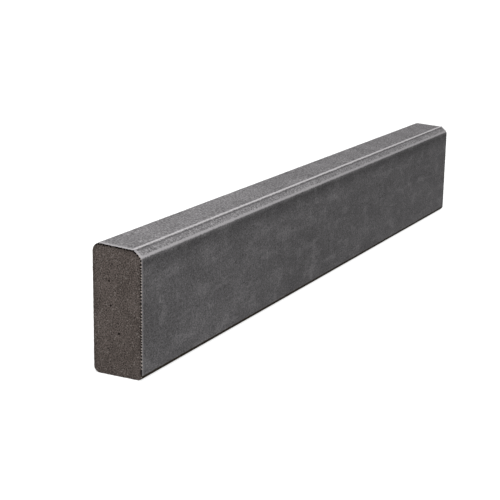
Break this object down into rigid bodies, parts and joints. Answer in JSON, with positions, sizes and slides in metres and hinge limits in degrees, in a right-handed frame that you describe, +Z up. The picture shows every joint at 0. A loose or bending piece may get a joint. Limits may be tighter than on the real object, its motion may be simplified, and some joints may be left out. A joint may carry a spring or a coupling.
{
  "type": "concrete sleeper",
  "caption": "Dark concrete sleeper: a long narrow pressed block that stands on edge, with rounded long edges, one shallow chamfer with a small lip, and rough end faces",
  "frame": {"origin": "centre of the edge that the sleeper stands on, at floor level", "axes": "+X along the length, +Y through the thickness towards the plain back face, +Z up; the chamfered face looks towards -Y"},
  "size_m": [1.2, 0.076, 0.18],
  "materials": {
    "dark_concrete": "pressed matt concrete, smooth on the mould faces, fine grained on top and rough on the ends"
  },
  "bodies": {
    "root": {"sleeper": "dark_concrete"}
  },
  "joints": []
}
